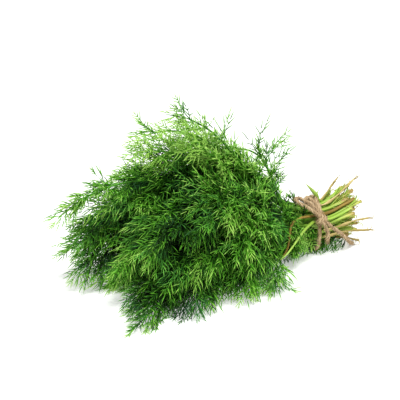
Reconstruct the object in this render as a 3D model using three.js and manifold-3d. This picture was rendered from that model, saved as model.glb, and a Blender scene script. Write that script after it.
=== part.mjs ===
// A bunch of fresh dill, tied at its neck with jute twine and lying on a surface. Millimetres, +Z up.
// While it is built the tie is at x = 0, the leafy head lies towards -X and the cut ends point to +X.
// The finished group is shifted so that its origin is the middle of its footprint.
import * as THREE from "three";
import { mergeVertices } from "three/addons/utils/BufferGeometryUtils.js";
import Module from "manifold-3d";

const wasm = await Module();
wasm.setup();

const V = (x, y, z) => new THREE.Vector3(x, y, z);
const degrees = THREE.MathUtils.degToRad;
const UP = V(0, 0, 1);
const GOLDEN_ANGLE = Math.PI * (3 - Math.sqrt(5));
const GAP = 0.35; // least clearance between two nodes
const OWN_GAP = 0.1; // least clearance between two ribs of one stem
const LOWEST = 0.3; // no centre line runs nearer to the surface, so what lies on it is cut off flat

// The neck: stalk n stands NECK_SPACING * sqrt(n + 0.5) from the middle, a golden angle on from the last.
const LEAFY_STEMS = 35;
const DRY_PLACES = [37, 38, 39, 40, 41, 46, 47]; // the dry stalks' places in the neck
const NECK_SPACING = 2;
const STALK_RADIUS = 1.15;
const TIE_HEIGHT = 17.9; // middle of the neck above the surface
const CUT_LENGTH = 25; // mean length of stalk past the tie
const CUT_RISE = 4; // how much the cut ends rise over that length
const CUT_FLARE = 1.38; // how much wider the cut ends stand than the neck
const CUT_PLACES = [1, 0.65, 0.3]; // shares of the cut length that have a ring
const STEM_SIDES = 4;
const STEM_TAPER = 0.62; // how much of its thickness a stem loses by its tip
const BARE_STEP = 18; // longest stretch of bare stem between two rings

// The head: stem tips end on a dome round (-HEAD_REACH, 0, raised neck height), which sags to the surface.
const HEAD_REACH = 98;
const HEAD_RADIUS = 64;
const HEAD_RISE = 28; // how far the middle of the head stands above the middle of the neck
const HEAD_SAG = 34; // how far the rim of the head hangs
const HEAD_NARROW = 0.78; // width over height
const HEAD_SPREAD = degrees(112); // the outermost stems turn back this far from straight ahead

// The fronds: side ribs in opposite pairs, each pair turned a little on from the last.
const FROND_LENGTH = 92;
const FROND_SHARE = 0.7; // most of a stem's length that may be leafy
const RIB_PAIRS = 7;
const RIB_LENGTH = 30;
const RIB_RADIUS = 0.45;
const RIB_DROOP = 0.018;
const RIB_TURN = 52; // degrees between pairs
const RIB_FOOT = 1.5; // length of stalk that a pair of ribs grows from
const NEEDLE_LENGTH = 10;
const NEEDLE_ANGLE = degrees(33);
const NEEDLE_FOOT = 0.9; // length of rib that a pair of needles grows from

// Tips that stand out of the dome, by stem number.
const STRAY_TIPS = {
  0: V(-162, 18, 16),
  2: V(-148, 12, 10),
  3: V(-165, 14, 41),
  4: V(-147, -33, 11),
  5: V(-161, 34, 23),
  6: V(-177, 6, 61),
  7: V(-144, -20, 9),
  8: V(-149, 36, 33),
  11: V(-125, 4, 99),
  12: V(-154, -42, 5),
  14: V(-126, 6, 88),
  16: V(-121, 40, 63),
  17: V(-123, -43, 10),
  19: V(-102, -1, 107),
  20: V(-99, -32, 6),
  21: V(-111, 47, 42),
  24: V(-100, 29, 84),
  25: V(-85, -44, 13),
  27: V(-103, -8, 97),
  29: V(-53, 22, 72),
  32: V(-84, 16, 88),
  33: V(-64, -42, 10),
};

// The fronds of these stems are slimmer, by this share, and stand out of the head.
const SLIM_FRONDS = { 6: 0.45, 12: 0.7, 19: 0.65, 29: 0.65 };

// Small leaves low on some outer stems, and the pale sheath that one stem raises beside the tie.
const LOW_LEAF_STEMS = [20, 25, 30, 33];
const LOW_LEAF_PLACES = [13, 21]; // from the tie
const LOW_LEAF_LENGTH = 8;
const LOW_LEAF_RADIUS = 0.8;
const LOW_LEAF_LEAN = degrees(45);
const SHEATH_STEM = 32;
const SHEATH_PLACE = 12; // from the cut end
const SHEATH_LINE = [V(6, 1, 33.4), V(-1.2, 0.5, 37.6), V(-7, 0, 42.4), V(-13.6, -1, 47.6)];
const SHEATH_RADIUS = 1.3;

// Two loose stalks leave the neck on its -Y side and bend down to the surface, by place in the neck.
const BENT_STALKS = {
  35: [
    V(-12, -10.5, 28.3),
    V(-22, -15, 31.2),
    V(-31.5, -19, 33.2),
    V(-37.4, -21.5, 30.4),
    V(-39.3, -23, 23.4),
    V(-41.7, -24, 15.9),
    V(-47.5, -25, 10.3),
  ],
  43: [
    V(-7, -11.2, 24.2),
    V(-12.2, -12.4, 24.9),
    V(-17, -16, 26.3),
    V(-23.5, -19.8, 26),
    V(-30.1, -22.5, 23.6),
    V(-37.1, -25, 18.8),
    V(-43.3, -26.5, 14.5),
    V(-49.7, -27, 11.3),
  ],
};

// The twine goes round the neck once, is tied in a bow on the -Y side and leaves one long loose end.
const TWINE_RADIUS = 1.25;
const TWINE_SIDES = 8;
const TWINE_STEP = 6; // length of rope between two rings
const WRAP_RADIUS = 17.3;
const WRAP_AT = -4;
const WRAP_TURNS = 1;
const WRAP_PITCH = 2.4;
const WRAP_SLANT = 0.36; // the turns lean towards the head on the -Y side
const KNOT_ANGLE = degrees(150); // from +Y, over the top
const KNOT_RADIUS = 2.8;
const BOW_LOOPS = [
  [
    V(-13.5, -15.5, 32.2),
    V(-19.5, -12.5, 37),
    V(-24.5, -10.5, 40.4),
    V(-25.7, -8.8, 42),
    V(-21, -7, 41.2),
    V(-15.8, -9, 37.2),
    V(-11.8, -13.3, 32.8),
  ],
  [
    V(-11.5, -14.5, 32.6),
    V(-13.4, -10.2, 36.8),
    V(-16.8, -8.5, 39.2),
    V(-14.6, -6.2, 40.4),
    V(-11.2, -8, 38),
    V(-9.4, -13, 33.8),
  ],
];
const SHORT_END = [
  V(-10.4, -20, 26),
  V(-8.4, -20.8, 21.8),
  V(-7.4, -21, 16.9),
  V(-7.4, -20.5, 12.4),
];
const LONG_END_STUB = [V(-6.2, -19.6, 24.6), V(-3.4, -20.3, 21.9)]; // the part of it that is fused to the knot
const LONG_END = [
  V(-3.08, -20.36, 21.6),
  V(0.6, -20.6, 18.6),
  V(4.6, -20.2, 15.2),
  V(9, -18.8, 11.3),
  V(13.4, -16.6, 7.3),
  V(17.4, -14, 3.8),
  V(21.4, -11.2, 1.6),
];

// Repeatable random numbers in 0..1 and -1..1.
function chance(a, b = 0, c = 0, d = 0) {
  const s = Math.sin(a * 12.9898 + b * 78.233 + c * 37.719 + d * 9.151) * 43758.5453;
  return s - Math.floor(s);
}
const jitter = (...keys) => 2 * chance(...keys) - 1;
const smooth = (low, high, x) => THREE.MathUtils.smoothstep(x, low, high);

// ---- Centre lines ----

// Lays a point of the unsagged bunch down: raises the head, hangs its rim and presses its underside flat.
function layDown(x, y, z) {
  const ahead = -x;
  const middle = TIE_HEIGHT + HEAD_RISE * smooth(0, HEAD_REACH, ahead) + CUT_RISE * smooth(0, CUT_LENGTH, x);
  const out = y * y + Math.max(0, ahead - HEAD_REACH + 12) ** 2;
  const sag = (HEAD_SAG * out * smooth(10, 80, ahead)) / HEAD_RADIUS ** 2;
  const press = 8 - 4 * smooth(0, 60, ahead);
  const h = z - sag;
  const kept = h < 0 ? h / (1 + (-h / (middle - 0.4)) ** press) ** (1 / press) : h;
  return V(x, y, middle + kept);
}

const neckRadius = (n) => NECK_SPACING * Math.sqrt(n + 0.5);

// Stalk n past the tie, from its cut end inwards, without the point at the tie.
function cutLine(n) {
  const r = neckRadius(n);
  const length = CUT_LENGTH * (1 + 0.22 * jitter(n, 4)) - 0.35 * r;
  const flare = CUT_FLARE + 0.35 * jitter(n, 5);
  return CUT_PLACES.map((s) => {
    const angle = n * GOLDEN_ANGLE + 0.12 * jitter(n, 6) * s;
    const wide = r * (1 + (flare - 1) * s ** 2);
    return layDown(length * s, wide * Math.cos(angle), wide * Math.sin(angle));
  });
}

// Leafy stem n from the tie to its tip, in short steps.
function leafyLine(n, steps = 24) {
  const start = neckRadius(n);
  const share = (n + 0.5) / LEAFY_STEMS;
  const polar = Math.acos(1 - (1 - Math.cos(HEAD_SPREAD)) * share) + degrees(7) * jitter(n, 1);
  const radius = HEAD_RADIUS * (1 + 0.1 * jitter(n, 2));
  const facing = new THREE.Vector2(Math.cos(polar), Math.sin(polar));
  const tip = new THREE.Vector2(HEAD_REACH + radius * facing.x, Math.max(3, radius * facing.y));
  const away = tip.clone().sub(new THREE.Vector2(10, start));
  const span = away.length();
  const arriving = away.multiplyScalar(0.7 / span).addScaledVector(facing, 0.3).normalize();
  const curve = new THREE.CubicBezierCurve(
    new THREE.Vector2(0, start),
    new THREE.Vector2(0.42 * span, 1.15 * start),
    tip.clone().addScaledVector(arriving, -0.38 * span),
    tip,
  );
  const line = [];
  for (let k = 0; k <= steps; k++) {
    const { x, y } = curve.getPoint(k / steps);
    const angle = n * GOLDEN_ANGLE + (0.22 * jitter(n, 3) * k) / steps;
    const narrow = 1 - (1 - HEAD_NARROW) * smooth(0, 70, x);
    line.push(layDown(-x, y * Math.cos(angle) * narrow, y * Math.sin(angle)));
  }
  if (n in STRAY_TIPS) {
    const shift = STRAY_TIPS[n].clone().sub(line[steps]);
    line.forEach((p, k) => p.addScaledVector(shift, smooth(0, 1, k / steps)));
    line.forEach((p) => (p.z = Math.max(p.z, LOWEST)));
  }
  return line;
}

// A branch that leaves its base at an angle from forward towards side, curls back to forward and sags.
function branchLine(base, forward, side, length, angle, steps) {
  const line = [base];
  for (let k = 0; k < steps; k++) {
    const part = (k + 0.5) / steps;
    const lean = angle * (1 - 0.35 * part);
    const way = forward.clone().multiplyScalar(Math.cos(lean)).addScaledVector(side, Math.sin(lean));
    way.addScaledVector(UP, -RIB_DROOP * part * length).normalize();
    const next = line[k].clone().addScaledVector(way, length / steps);
    next.z = Math.max(next.z, LOWEST);
    line.push(next);
  }
  return line;
}

// Direction and two normals at each point of a line, carried along it without twisting.
function framesOf(line) {
  let across = UP;
  return line.map((at, k) => {
    const way = line[Math.min(k + 1, line.length - 1)].clone().sub(line[Math.max(k - 1, 0)]).normalize();
    across = across.clone().addScaledVector(way, -across.dot(way)).normalize();
    return { at, way, across, third: way.clone().cross(across) };
  });
}

const lengthOf = (line) => line.slice(1).reduce((sum, p, k) => sum + p.distanceTo(line[k]), 0);

// The frame at a distance along a line whose frames are given.
function frameAt(frames, distance) {
  let k = 1;
  let left = distance;
  let step = frames[1].at.distanceTo(frames[0].at);
  while (left > step && k < frames.length - 1) {
    left -= step;
    k += 1;
    step = frames[k].at.distanceTo(frames[k - 1].at);
  }
  const [low, high, part] = [frames[k - 1], frames[k], left / step];
  const way = low.way.clone().lerp(high.way, part).normalize();
  const across = low.across.clone().lerp(high.across, part);
  across.addScaledVector(way, -across.dot(way)).normalize();
  return { at: low.at.clone().lerp(high.at, part), way, across, third: way.clone().cross(across) };
}

// ---- Clearance ----

const taken = []; // every length of limb placed so far: { owner, line, radius, root }

// The lengths of a limb, to be kept clear of others. A root may touch the node's own stalk.
function reachOf(owner, line, radii, root = false) {
  return line.slice(1).map((p, k) => {
    return { owner, line: new THREE.Line3(line[k], p), radius: radii[k], root: root && k === 0 };
  });
}

function isClear(limb) {
  return taken.every((other) => {
    const own = other.owner === limb.owner;
    if (own && limb.root) return true;
    const needed = limb.radius + other.radius + (own ? OWN_GAP : GAP);
    return limb.line.distanceSqToLine3(other.line) >= needed ** 2;
  });
}

// ---- Meshes that branch ----

// A closed stalk: a ring of sides round each frame, a flat start and a pointed end at the tip.
// One half of each side face stays open, so that a limb can grow out of it.
class Stalk {
  constructor(frames, radii, tip, sides) {
    Object.assign(this, { frames, sides, spots: [], faces: [], open: new Map() });
    frames.forEach(({ at }, k) => {
      for (let j = 0; j < sides; j++) this.spots.push(this.outward(k, j).multiplyScalar(radii[k]).add(at));
    });
    const spot = (k, j) => k * sides + (j % sides);
    for (let j = 1; j < sides - 1; j++) this.faces.push([spot(0, 0), spot(0, j + 1), spot(0, j)]);
    for (let k = 0; k < frames.length - 1; k++)
      for (let j = 0; j < sides; j++) {
        this.faces.push([spot(k, j), spot(k + 1, j + 1), spot(k + 1, j)]);
        this.open.set(`${k} ${j}`, [spot(k, j), spot(k, j + 1), spot(k + 1, j + 1)]);
      }
    const last = frames.length - 1;
    const point = this.spots.push(tip) - 1;
    for (let j = 0; j < sides; j++) this.faces.push([spot(last, j), spot(last, j + 1), point]);
  }

  outward(k, turn) {
    const angle = (turn / this.sides) * 2 * Math.PI;
    const { across, third } = this.frames[k];
    return across.clone().multiplyScalar(Math.cos(angle)).addScaledVector(third, Math.sin(angle));
  }

  // The open face between rings k and k + 1 that looks most nearly along a direction.
  faceTowards(k, direction) {
    const sides = Array.from({ length: this.sides }, (_, j) => j).filter((j) => this.open.has(`${k} ${j}`));
    const facing = (j) => this.outward(k, j + 0.5).dot(direction);
    return `${k} ${sides.reduce((best, j) => (facing(j) > facing(best) ? j : best))}`;
  }

  middleOf(key) {
    const middle = V(0, 0, 0);
    this.open.get(key).forEach((v) => middle.addScaledVector(this.spots[v], 1 / 3));
    return middle;
  }

  cornerOf(key) {
    return this.spots[this.open.get(key)[0]];
  }

  // Grows a limb out of an open face.
  graft(key, { line, radii, needles }) {
    this.grow(this.open.get(key), line, radii, needles);
    this.open.delete(key);
  }

  // Grows a three-sided limb out of a triangle: a ring round each inner point and a pointed end.
  // Needles grow out of the side faces between the last two rings.
  grow(foot, line, radii, needles) {
    let last = foot;
    for (let k = 1; k < line.length - 1; k++) {
      const way = line[k + 1].clone().sub(line[k - 1]).normalize();
      const arm = this.spots[last[0]].clone().sub(line[k - 1]);
      arm.addScaledVector(way, -arm.dot(way)).setLength(radii[k]);
      const ring = [0, 1, 2].map((j) => {
        const turned = arm.clone().applyAxisAngle(way, (j * 2 * Math.PI) / 3);
        return this.spots.push(turned.add(line[k])) - 1;
      });
      for (let j = 0; j < 3; j++) {
        const next = (j + 1) % 3;
        const side = [last[j], last[next], ring[next]];
        this.faces.push([last[j], ring[next], ring[j]]);
        if (k === line.length - 2 && needles[j]) this.close(side, needles[j]);
        else this.faces.push(side);
      }
      last = ring;
    }
    this.close(last, line.at(-1));
  }

  // Closes a triangle with a pointed end.
  close(foot, end) {
    const tip = this.spots.push(end) - 1;
    for (let j = 0; j < 3; j++) this.faces.push([foot[j], foot[(j + 1) % 3], tip]);
  }

  solid() {
    const geometry = new THREE.BufferGeometry().setFromPoints(this.spots);
    geometry.setIndex([...this.faces, ...this.open.values()].flat());
    return solidOf(geometry);
  }
}

function solidOf(geometry) {
  const bare = geometry.clone();
  bare.deleteAttribute("normal");
  bare.deleteAttribute("uv");
  const merged = mergeVertices(bare, 1e-4);
  return new wasm.Manifold(
    new wasm.Mesh({
      numProp: 3,
      vertProperties: merged.attributes.position.array,
      triVerts: new Uint32Array(merged.index.array),
    }),
  );
}

const joined = (solids) => solids.reduce((whole, next) => whole.add(next));

// What lies below the surface is cut off, and a scrap that this leaves loose is dropped.
function cutAtSurface(solid) {
  if (solid.boundingBox().min[2] >= 0) return solid;
  const below = new THREE.BoxGeometry(600, 600, 50).translate(0, 0, -25);
  const bodies = solid.subtract(solidOf(below)).decompose();
  return bodies.sort((a, b) => b.volume() - a.volume())[0];
}

function meshOf(solid, name, material) {
  const { vertProperties, triVerts } = cutAtSurface(solid).getMesh();
  const geometry = new THREE.BufferGeometry();
  geometry.setAttribute("position", new THREE.BufferAttribute(vertProperties, 3));
  geometry.setIndex(new THREE.BufferAttribute(triVerts, 1));
  geometry.computeVertexNormals();
  const mesh = new THREE.Mesh(geometry, material);
  mesh.name = name;
  return mesh;
}

// ---- Leafy stems ----

const stemName = (n) => `leafy_stem_${String(n + 1).padStart(2, "0")}`;

// Where pairs of limbs leave stem n, as distances from its tie: low leaves first, then the frond.
function pairsOf(n, length) {
  const low = LOW_LEAF_STEMS.includes(n) ? LOW_LEAF_PLACES.map((at) => ({ at, low: true })) : [];
  const leafy = Math.min(FROND_LENGTH, length * FROND_SHARE);
  const frond = Array.from({ length: RIB_PAIRS }, (_, j) => j / RIB_PAIRS);
  return [...low, ...frond.map((up) => ({ at: length - leafy * (1 - up) ** 0.9, up, leafy }))];
}

// The stalk of leafy stem n: its line, its rings and the pairs that grow from it.
function stemOf(n) {
  const cut = cutLine(n);
  const leafy = leafyLine(n);
  const frames = framesOf([...cut, ...leafy]);
  const tied = lengthOf([...cut, leafy[0]]);
  const length = lengthOf(leafy);
  const pairs = pairsOf(n, length);
  const rings = [0, 0.33 * tied, 0.7 * tied, tied];
  if (n === SHEATH_STEM) rings.push(SHEATH_PLACE, SHEATH_PLACE + RIB_FOOT);
  for (const { at } of pairs) rings.push(tied + at, tied + at + RIB_FOOT);
  rings.push(tied + length - NEEDLE_FOOT, tied + length);
  rings.sort((a, b) => a - b);
  for (let k = rings.length - 1; k > 0; k--) {
    const extra = Math.floor((rings[k] - rings[k - 1]) / BARE_STEP);
    for (let j = extra; j > 0; j--) {
      rings.splice(k, 0, rings[k - 1] + ((rings[k] - rings[k - 1]) * j) / (extra + 1));
    }
  }
  const ringFrames = rings.map((at) => frameAt(frames, at));
  const thickness = STALK_RADIUS * (1 + 0.1 * jitter(n, 8));
  const radii = rings.map((at) => thickness * (1 - STEM_TAPER * Math.max(0, (at - tied) / length)));
  const end = ringFrames.at(-1);
  const tip = end.at.clone().addScaledVector(end.way, NEEDLE_LENGTH);
  tip.z = Math.max(tip.z, LOWEST);
  const stalk = new Stalk(ringFrames, radii, tip, STEM_SIDES);
  const reach = reachOf(stemName(n), [...ringFrames.map(({ at }) => at), tip], radii);
  const ringAt = (distance) => rings.findIndex((at) => at > distance - 1e-6);
  return { n, stalk, reach, ringAt, pairs: pairs.map((pair) => ({ ...pair, ring: ringAt(tied + pair.at) })) };
}

// A tip's own needles, splayed round it.
function addTipNeedles({ n, stalk }) {
  const ring = stalk.frames.length - 2;
  const { at, way } = stalk.frames[ring];
  for (const side of [0, 1, 2]) {
    const length = NEEDLE_LENGTH * (0.75 + 0.3 * chance(n, side, 21));
    const out = stalk.outward(ring, side + 0.5).multiplyScalar(Math.sin(NEEDLE_ANGLE));
    const end = at.clone().addScaledVector(out.addScaledVector(way, Math.cos(NEEDLE_ANGLE)), length);
    end.z = Math.max(end.z, LOWEST);
    const key = `${ring} ${side}`;
    const line = [stalk.middleOf(key), end];
    const reach = reachOf(stemName(n), line, [RIB_RADIUS], true);
    if (!reach.every(isClear)) continue;
    stalk.graft(key, { line, radii: [], needles: [] });
    taken.push(...reach);
  }
}

// A side rib from the middle of the face it grows out of. Each of its two needles leaves along its own
// side face, and the first side face starts above the corner.
function ribOf(n, { base, corner, forward, side }, { length, lean, radius, keys }) {
  const [, knee, end] = branchLine(base, forward, side, length, lean, 2);
  const fork = knee.clone().lerp(end, (2 * NEEDLE_FOOT) / length);
  const way = end.clone().sub(knee).normalize();
  const start = corner.clone().sub(base);
  start.addScaledVector(way, -start.dot(way)).normalize();
  const first = Math.floor(3 * chance(...keys, 1));
  const needles = [];
  for (const j of [first, (first + 1) % 3]) {
    const out = start.clone().applyAxisAngle(way, ((j + 0.5) * 2 * Math.PI) / 3);
    const reach = Math.min(NEEDLE_LENGTH, 0.5 * length) * (1 + 0.2 * jitter(...keys, j + 2));
    const needle = knee.clone().addScaledVector(way, Math.cos(NEEDLE_ANGLE) * reach);
    needle.addScaledVector(out, Math.sin(NEEDLE_ANGLE) * reach);
    if (needle.z > LOWEST) needles[j] = needle;
  }
  const near = base.clone().lerp(knee, 3.5 / (0.5 * length));
  const reach = [
    ...reachOf(stemName(n), [base, near, knee, end], [radius, radius, radius], true),
    ...needles.flatMap((needle) => reachOf(stemName(n), [knee, needle], [RIB_RADIUS])),
  ];
  return { line: [base, knee, fork, end], radii: [radius, radius, 0.95 * radius], needles, reach };
}

// Grows one limb of a pair, rolled aside or shortened until it is clear of everything else.
function addRib(stem, pair, roll, make) {
  const { stalk } = stem;
  const { way, across, third } = stalk.frames[pair.ring];
  for (const size of [1, 0.8, 0.6, 0.45])
    for (const aside of [0, 15, -15, 30, -30, 45, -45, 65, -65]) {
      const angle = roll + degrees(aside);
      const side = across.clone().multiplyScalar(Math.cos(angle)).addScaledVector(third, Math.sin(angle));
      const key = stalk.faceTowards(pair.ring, side);
      const foot = { base: stalk.middleOf(key), corner: stalk.cornerOf(key), forward: way, side };
      const rib = ribOf(stem.n, foot, make(size));
      if (!rib.reach.every(isClear)) continue;
      stalk.graft(key, rib);
      taken.push(...rib.reach);
      return;
    }
}

// The frond of a stem: opposite ribs in pairs that turn round the stalk and shorten towards its tip.
function addRibs(stem) {
  const { n, stalk, pairs } = stem;
  const firstRoll = 2 * Math.PI * chance(n, 11);
  pairs.forEach((pair, j) => {
    const { x, z } = stalk.frames[pair.ring].at;
    for (let k = 0; k < 2; k++) {
      const keys = [n, j, k];
      const vary = 1 + 0.18 * jitter(...keys, 2);
      const roll = firstRoll + degrees(j * RIB_TURN + 180 * k + 22 * jitter(...keys, 1));
      if (pair.low) {
        const leaf = { lean: LOW_LEAF_LEAN, radius: LOW_LEAF_RADIUS, keys };
        addRib(stem, pair, roll, (size) => ({ ...leaf, length: LOW_LEAF_LENGTH * size }));
        continue;
      }
      const nearTie = 0.3 + 0.7 * smooth(15, 60 + 1.5 * Math.max(0, z - 35), -x);
      const size = (SLIM_FRONDS[n] ?? 1) * nearTie * vary;
      const length = RIB_LENGTH * (pair.leafy / 112) ** 0.35 * (1 - 0.62 * pair.up ** 1.3) * size;
      const lean = degrees(52 - 14 * pair.up + 8 * jitter(...keys, 3));
      addRib(stem, pair, roll, (share) => ({ length: length * share, lean, radius: RIB_RADIUS, keys }));
    }
  });
}

function addSheath({ n, stalk, ringAt }) {
  const key = stalk.faceTowards(ringAt(SHEATH_PLACE), UP);
  const line = [stalk.middleOf(key), ...SHEATH_LINE];
  const radii = line.map(() => SHEATH_RADIUS);
  stalk.graft(key, { line, radii, needles: [] });
  taken.push(...reachOf(stemName(n), line, radii));
}

// ---- Other stalks ----

function stalkOf(name, line, radii) {
  const frames = framesOf(line);
  const stalk = new Stalk(frames.slice(0, -1), radii, line.at(-1), 5);
  return { name, stalk, reach: reachOf(name, line, radii) };
}

// A dry stalk: it curls out of the cut ends and stops a little way into the neck.
function dryLine(n) {
  const r = neckRadius(n);
  const length = CUT_LENGTH * (1 + 0.15 * jitter(n, 4));
  return [1, 0.72, 0.42, 0.1, -0.2].map((s, k) => {
    const wide = r * (1 + 0.75 * Math.max(s, 0) ** 2 + (s > 0.5 ? 0.08 * jitter(n, k) : 0));
    const angle = n * GOLDEN_ANGLE + 0.2 * jitter(n, 6) * s * s;
    return layDown(length * s, wide * Math.cos(angle), wide * Math.sin(angle));
  });
}

function bentLine(n) {
  const angle = n * GOLDEN_ANGLE;
  const tied = layDown(0, neckRadius(n) * Math.cos(angle), neckRadius(n) * Math.sin(angle));
  return [...cutLine(n), tied, ...BENT_STALKS[n]];
}

// ---- Twine ----

// A rope of even thickness along a smooth curve through the points.
function ropeOf(points) {
  const path = new THREE.CatmullRomCurve3(points, false, "centripetal");
  const steps = Math.round(path.getLength() / TWINE_STEP);
  return { path, steps };
}

function ropeSolid({ path, steps }) {
  const section = new THREE.Shape();
  for (let j = 0; j < TWINE_SIDES; j++) {
    const angle = (j / TWINE_SIDES) * 2 * Math.PI;
    const spot = [TWINE_RADIUS * Math.cos(angle), TWINE_RADIUS * Math.sin(angle)];
    if (j === 0) section.moveTo(...spot);
    else section.lineTo(...spot);
  }
  return solidOf(new THREE.ExtrudeGeometry(section, { steps, extrudePath: path }));
}

function ropeReach(owner, { path, steps }) {
  const line = path.getSpacedPoints(2 * steps);
  return reachOf(owner, line, line.map(() => TWINE_RADIUS));
}

function wrapPoints() {
  const points = [];
  for (let k = 0; k <= 32; k++) {
    const turns = (k / 32) * WRAP_TURNS;
    const angle = KNOT_ANGLE + turns * 2 * Math.PI;
    const y = WRAP_RADIUS * Math.cos(angle);
    const x = WRAP_AT + WRAP_SLANT * y + WRAP_PITCH * (turns - WRAP_TURNS / 2);
    points.push(V(x, y, TIE_HEIGHT + WRAP_RADIUS * Math.sin(angle)));
  }
  return points;
}

function knotCentre() {
  const out = WRAP_RADIUS + 0.8 * KNOT_RADIUS;
  const y = out * Math.cos(KNOT_ANGLE);
  return V(WRAP_AT + WRAP_SLANT * y, y, TIE_HEIGHT + out * Math.sin(KNOT_ANGLE));
}

// The wrap, the two loops of the bow, the short end and the start of the long one.
function bowRopes() {
  const knot = knotCentre();
  const loops = BOW_LOOPS.map((loop) => [knot, ...loop, knot]);
  const ends = [SHORT_END, LONG_END_STUB].map((end) => [knot, ...end]);
  return [wrapPoints(), ...loops, ...ends].map(ropeOf);
}

function knotSolid() {
  const { x, y, z } = knotCentre();
  return solidOf(new THREE.SphereGeometry(KNOT_RADIUS, 8, 6).translate(x, y, z));
}

// ---- The bunch ----

const skin = (color, roughness) => new THREE.MeshStandardMaterial({ color, roughness, metalness: 0 });
const LEAF_GREEN = skin(0x467425, 0.6);
const DRY_TAN = skin(0xc9a25e, 0.8);
const BENT = {
  35: { name: "bent_stalk_brown", material: skin(0x8a6a3a, 0.7) },
  43: { name: "bent_stalk_green", material: skin(0xa8c04a, 0.6) },
};
const JUTE = skin(0xa8835a, 0.95);

const stems = Array.from({ length: LEAFY_STEMS }, (_, n) => stemOf(n));
const dry = DRY_PLACES.map((n, k) => stalkOf(`dry_stalk_${k + 1}`, dryLine(n), [0.75, 0.95, 1.05, 1]));
const bent = Object.entries(BENT).map(([n, { name, material }]) => {
  const line = bentLine(Number(n));
  const radii = line.map((_, k) => STALK_RADIUS * (k < 4 ? 1 : 1 - 0.08 * (k - 3)));
  return { ...stalkOf(name, line, radii), material };
});
const ropes = bowRopes();
const longEnd = ropeOf(LONG_END);

taken.push(...[...stems, ...dry, ...bent].flatMap(({ reach }) => reach));
taken.push(...ropes.flatMap((rope) => ropeReach("twine_wrap", rope)), ...ropeReach("twine_end", longEnd));

addSheath(stems[SHEATH_STEM]);
stems.forEach(addTipNeedles);
stems.forEach(addRibs);

const group = new THREE.Group();
stems.forEach(({ n, stalk }) => group.add(meshOf(stalk.solid(), stemName(n), LEAF_GREEN)));
dry.forEach(({ name, stalk }) => group.add(meshOf(stalk.solid(), name, DRY_TAN)));
bent.forEach(({ name, stalk, material }) => group.add(meshOf(stalk.solid(), name, material)));
group.add(meshOf(joined([knotSolid(), ...ropes.map(ropeSolid)]), "twine_wrap", JUTE));
group.add(meshOf(ropeSolid(longEnd), "twine_end", JUTE));

const footprint = new THREE.Box3().setFromObject(group).getCenter(V(0, 0, 0));
group.position.set(-footprint.x, -footprint.y, 0);

export default group;
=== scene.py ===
"""A bunch of fresh dill that lies on its side, tied round its neck with jute twine.

Everything is first laid out in millimetres with the tie at x = 0, the leafy head towards -X and the cut
ends towards +X, by the same rules as the solids. Each finished mesh is then moved into the row's frame.
"""

import math

import bpy
import numpy as np
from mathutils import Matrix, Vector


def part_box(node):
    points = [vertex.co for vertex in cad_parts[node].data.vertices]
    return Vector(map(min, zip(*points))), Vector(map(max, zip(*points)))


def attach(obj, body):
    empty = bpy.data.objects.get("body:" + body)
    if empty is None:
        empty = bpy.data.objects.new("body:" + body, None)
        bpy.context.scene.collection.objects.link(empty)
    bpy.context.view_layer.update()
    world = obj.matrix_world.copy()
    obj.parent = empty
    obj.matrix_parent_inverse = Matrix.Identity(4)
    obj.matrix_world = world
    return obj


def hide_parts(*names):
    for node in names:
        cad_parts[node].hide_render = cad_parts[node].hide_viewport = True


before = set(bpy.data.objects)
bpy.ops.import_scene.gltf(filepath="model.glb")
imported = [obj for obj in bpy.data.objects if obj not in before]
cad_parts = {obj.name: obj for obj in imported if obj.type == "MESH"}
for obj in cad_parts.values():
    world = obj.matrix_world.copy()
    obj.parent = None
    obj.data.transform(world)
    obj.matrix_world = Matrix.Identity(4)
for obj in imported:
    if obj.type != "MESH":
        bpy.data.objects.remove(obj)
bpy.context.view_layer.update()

MM = 0.001
UP = np.array([0.0, 0.0, 1.0])
GOLDEN_ANGLE = math.pi * (3 - math.sqrt(5))

# The solid twine's +X, +Y corner stands here while the tie is at x = 0, which gives the row's own origin.
TWINE_CORNER = np.array([3.6615, 18.5397])
SHIFT = np.append(np.array(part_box("twine_wrap")[1][:2]) / MM - TWINE_CORNER, 0.0)

# ---- Measures of the stalks, in millimetres ----

# Stalk n stands NECK_SPACING * sqrt(n + 0.5) from the neck's middle, a golden angle on from the last.
LEAFY_STEMS = 35
DRY_PLACES = [37, 38, 39, 40, 41, 46, 47]
BROWN_PLACE, GREEN_PLACE = 35, 43  # the two bent stalks' places in the neck
NECK_SPACING = 2.0
STALK_RADIUS = 1.15
STALK_UNEVEN = 0.1
STALK_WAVES, STALK_WAVE_LENGTH = 0.05, 5
STALK_SIDES = 8
GREEN_FROM = 100  # a stalk gets greener over this distance from its cut end
STALK_HOLLOW = 0.9  # depth of the cup in a cut end
CUP_DEPTHS, CUP_WIDTHS = np.array([[1.0], [0.3]]), np.array([0.35, 0.7])  # its two rings, as shares
STEM_TAPER = 0.62  # how much of its thickness a stem loses by its tip
TIE_HEIGHT = 17.9  # middle of the neck above the surface
CUT_LENGTH = 25.0  # mean length of stalk past the tie
CUT_UNEVEN = 0.22
CUT_ROUNDED = 0.35  # how much shorter a stalk is, over its distance from the neck's middle
CUT_RISE = 4.0  # how much the cut ends rise over that length
CUT_FLARE = 1.38  # how much wider the cut ends stand than the neck
FLARE_UNEVEN = 0.35
CUT_TURN = 0.12  # how far the cut ends turn round the neck, in radians
CUT_RINGS = np.linspace(1, 0.06, 10)  # a leafy stem's rings past the tie, as shares of its length there
BENT_RINGS = np.array([1, 0.65, 0.3])  # and a bent stalk's
LOWEST, NEAREST = 0.3, 0.02  # how near to the surface a centre line and a point of a mesh may come

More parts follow.
